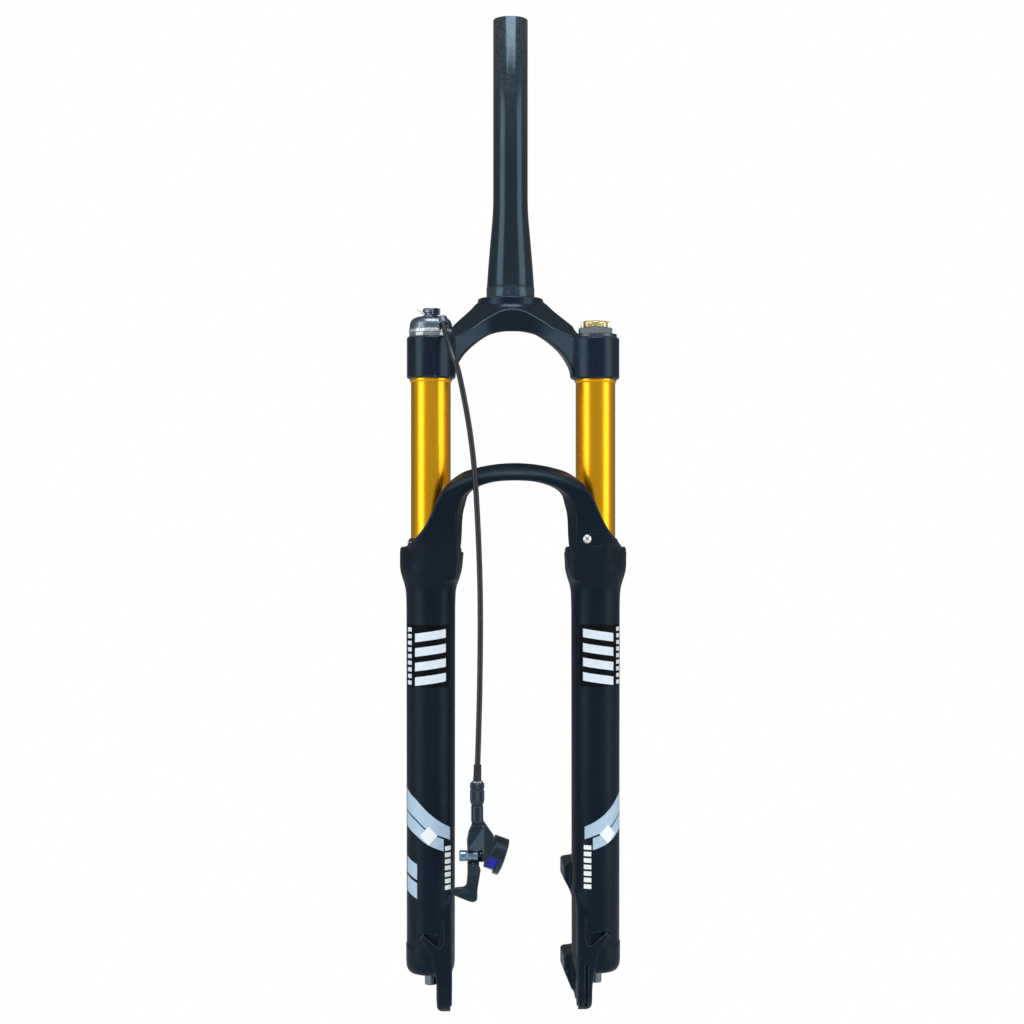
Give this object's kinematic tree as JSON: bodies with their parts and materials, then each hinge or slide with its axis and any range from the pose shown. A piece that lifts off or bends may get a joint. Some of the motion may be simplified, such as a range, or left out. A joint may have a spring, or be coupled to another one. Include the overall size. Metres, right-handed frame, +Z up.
{
  "type": "suspension fork",
  "caption": "Air-sprung bicycle suspension fork with tapered steerer, cast arch lowers, open dropouts, post-mount brake bosses and a cable lockout remote.",
  "frame": {"origin": "centre of the crown-race seat, on the steerer's axis", "axes": "+Z up the steerer, -Y towards the front of the bicycle, +X towards the leg that carries the disc-brake posts"},
  "size_m": [0.1826, 0.1315, 0.8072],
  "materials": {
    "black_alloy": "satin black over drawn alloy",
    "cast_black": "satin black paint on a casting",
    "gold_anodised": "glossy gold anodising",
    "gold_cap": "bright gold anodising",
    "grey_anodised": "satin grey-blue anodising",
    "dark_grey": "satin dark grey",
    "button_blue": "satin silver-blue anodising",
    "steel": "turned steel",
    "brass": "turned brass or copper",
    "rubber": "matt black elastomer",
    "foam": "oiled foam",
    "polymer": "filled polymer bearing"
  },
  "bodies": {
    "upper": {"steerer_tube": "black_alloy", "crown": "cast_black", "stanchion_left": "gold_anodised", "stanchion_right": "gold_anodised", "damper_top_cap": "dark_grey", "lock_ring": "steel", "lockout_housing": "grey_anodised", "lockout_return_spring": "steel", "compression_valve": "steel", "damper_seal_head": "steel", "air_top_cap": "dark_grey", "valve_stem": "brass", "air_cap_seal": "rubber", "air_seal_head": "steel", "topout_bumper_left": "rubber", "topout_bumper_right": "rubber", "cable_housing": "rubber", "upper_ferrule": "steel", "lower_ferrule": "dark_grey", "remote_body": "dark_grey", "clamp_bolt": "steel", "lever_pivot_bolt": "steel"},
    "lowers": {"lower_casting": "cast_black", "wiper_seal_left": "rubber", "wiper_seal_right": "rubber", "garter_spring_left": "steel", "garter_spring_right": "steel", "foam_ring_left": "foam", "foam_ring_right": "foam", "bushing_upper_left": "polymer", "bushing_upper_right": "polymer", "bushing_lower_left": "polymer", "bushing_lower_right": "polymer", "foot_bolt_left": "steel", "foot_bolt_right": "steel", "crush_washer_left": "brass", "crush_washer_right": "brass", "bottomout_bumper_left": "rubber", "bottomout_bumper_right": "rubber", "damper_shaft": "steel", "rebound_piston": "steel", "piston_glide_ring": "polymer", "air_shaft": "steel", "air_piston": "polymer", "air_piston_seal": "rubber", "hose_guide": "cast_black", "hose_guide_bolt": "steel"},
    "spool": {"cable_spool": "grey_anodised", "cable_pinch_bolt": "dark_grey", "inner_cable": "steel", "lockout_shaft": "steel", "lockout_gate": "brass"},
    "lever": {"lever_paddle": "dark_grey"},
    "button": {"release_button": "button_blue"},
    "barrel": {"barrel_adjuster": "dark_grey"},
    "valve_cap": {"air_valve_cap": "gold_cap"},
    "valve_pin": {"valve_core": "brass"}
  },
  "joints": [
    {"name": "fork_travel", "type": "slide", "parent": "upper", "child": "lowers", "axis": [0, 0, 1], "range_m": [0, 0.1], "stiffness_N_per_m": 9000, "springref_m": -0.012},
    {"name": "lever_swing", "type": "hinge", "parent": "upper", "child": "lever", "pos_m": [-0.0345, -0.098, -0.452], "axis": [0, 1, 0], "range_deg": [0, 30], "stiffness_Nm_per_rad": 0.15, "springref_deg": -5.73},
    {"name": "spool_turn", "type": "hinge", "parent": "upper", "child": "spool", "pos_m": [-0.0665, -0.04, -0.0158], "axis": [0, 0, 1], "range_deg": [0, 60]},
    {"name": "release_press", "type": "slide", "parent": "upper", "child": "button", "axis": [1, 0, 0], "range_m": [0, 0.003], "stiffness_N_per_m": 400, "springref_m": -0.0005},
    {"name": "barrel_turn", "type": "hinge", "parent": "upper", "child": "barrel", "pos_m": [-0.0316, -0.098, -0.394], "axis": [0, 0, 1], "continuous": true},
    {"name": "valve_cap_lift", "type": "slide", "parent": "upper", "child": "valve_cap", "axis": [0, 0, 1], "range_m": [0, 0.012]},
    {"name": "valve_pin_press", "type": "slide", "parent": "upper", "child": "valve_pin", "axis": [0, 0, -1], "range_m": [0, 0.0015], "stiffness_N_per_m": 800, "springref_m": -0.0005}
  ],
  "couplings": [
    {"joint": "spool_turn", "follows": "lever_swing", "ratio": 2}
  ]
}
